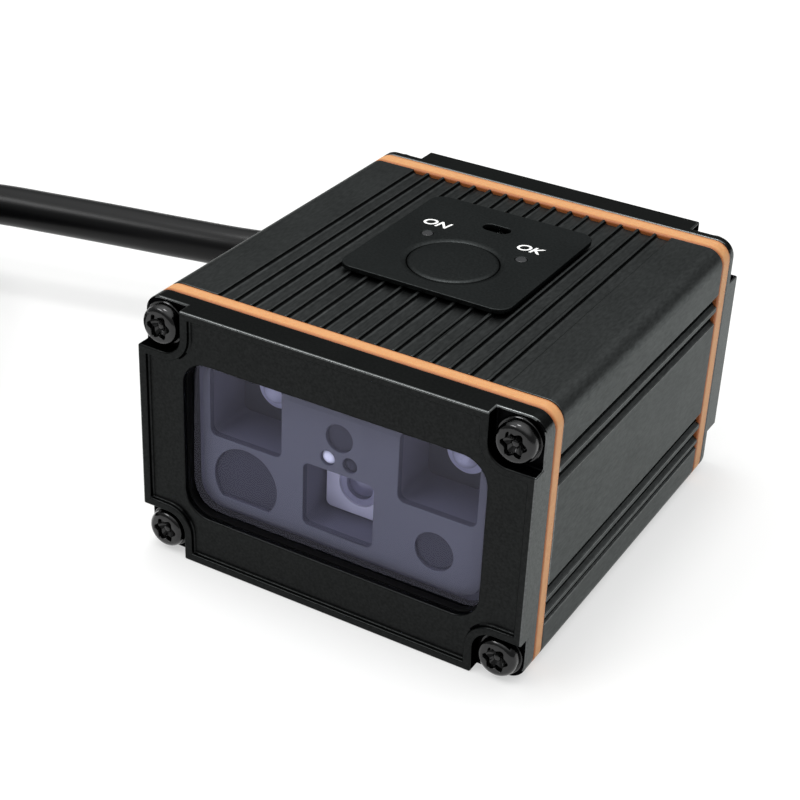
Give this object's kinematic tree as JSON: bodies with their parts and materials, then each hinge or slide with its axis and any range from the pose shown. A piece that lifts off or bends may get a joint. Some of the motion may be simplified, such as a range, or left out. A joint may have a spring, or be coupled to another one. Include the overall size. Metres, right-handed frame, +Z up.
{
  "type": "fixed barcode reader",
  "caption": "Small fluted metal housing with a windowed front, an imaging engine behind it, a trigger key on top, soft gaskets at both ends and a cable with a plug.",
  "frame": {"origin": "middle of the housing's base, on the surface it stands on, measured without the cable", "axes": "-Y out of the window, +Y out of the rear cover, +X to the right seen from the front, +Z up"},
  "size_m": [0.1759, 0.1154, 0.0337],
  "materials": {
    "sleeve_anodised": "black anodised extrusion, semi-gloss",
    "frame_anodised": "black anodised, semi-gloss",
    "gasket_silicone": "orange silicone, matte",
    "pane_glass": "clear, faintly violet",
    "bond_black": "black adhesive film",
    "screw_black": "black zinc steel",
    "panel_anodised": "black anodised plate",
    "key_plastic": "black moulded key",
    "pipe_clear": "clear acrylic",
    "lamp_white": "white lamp package",
    "dark_plastic": "black moulded",
    "pale_plastic": "ivory moulded",
    "plunger_plastic": "tan moulded",
    "foam": "black closed-cell foam",
    "board_laminate": "green solder mask",
    "ribbon_film": "amber polyimide film",
    "mask_plastic": "grey-violet moulded",
    "chassis_plastic": "dark grey moulded",
    "disc_plastic": "smoked acrylic",
    "lens_clear": "clear moulded lens",
    "emitter": "white lamp with phosphor",
    "mount_plastic": "pale grey moulded",
    "chip_plastic": "black moulded chip",
    "spacer_brass": "plain",
    "steel": "zinc plated",
    "cable_pvc": "black soft PVC",
    "boot_pvc": "black moulded PVC",
    "tie_nylon": "black woven strap",
    "shell_steel": "nickel plated"
  },
  "bodies": {
    "reader": {"housing_sleeve": "sleeve_anodised", "front_gasket": "gasket_silicone", "rear_gasket": "gasket_silicone", "front_bezel": "frame_anodised", "window_bond": "bond_black", "window_pane": "pane_glass", "rear_cover": "frame_anodised", "front_screws": "screw_black", "front_washers": "screw_black", "rear_screws": "screw_black", "rear_washers": "screw_black", "key_panel": "panel_anodised", "trigger_switch": "dark_plastic", "power_light_pipe": "pipe_clear", "read_light_pipe": "pipe_clear", "status_lamps": "lamp_white", "buzzer": "dark_plastic", "buzzer_seal": "foam", "panel_board": "board_laminate", "panel_screws": "steel", "panel_ribbon": "ribbon_film", "engine_mask": "mask_plastic", "engine_chassis": "chassis_plastic", "chassis_screws": "steel", "cover_discs": "disc_plastic", "aiming_lenses": "lens_clear", "light_board": "board_laminate", "light_emitters": "emitter", "light_lenses": "lens_clear", "lens_mount": "mount_plastic", "lens_barrel": "dark_plastic", "lens_glass": "lens_clear", "image_sensor": "chip_plastic", "sensor_board": "board_laminate", "engine_spacers": "spacer_brass", "engine_screws": "steel", "engine_ribbon": "ribbon_film", "decoder_board": "board_laminate", "decoder_chips": "chip_plastic", "ribbon_sockets": "pale_plastic", "lead_header": "pale_plastic", "lead_crimp": "pale_plastic", "cable_boot": "boot_pvc", "cable_lead": "cable_pvc", "cable_coil": "cable_pvc", "cable_tail": "cable_pvc", "coil_tie": "tie_nylon", "plug_body": "boot_pvc", "plug_shell": "shell_steel", "plug_insert": "pale_plastic"},
    "key": {"trigger_key": "key_plastic", "switch_plunger": "plunger_plastic"}
  },
  "joints": [
    {"name": "trigger_press", "type": "slide", "parent": "reader", "child": "key", "axis": [0, 0, -1], "range_m": [0, 0.00035], "stiffness_N_per_m": 3000}
  ]
}
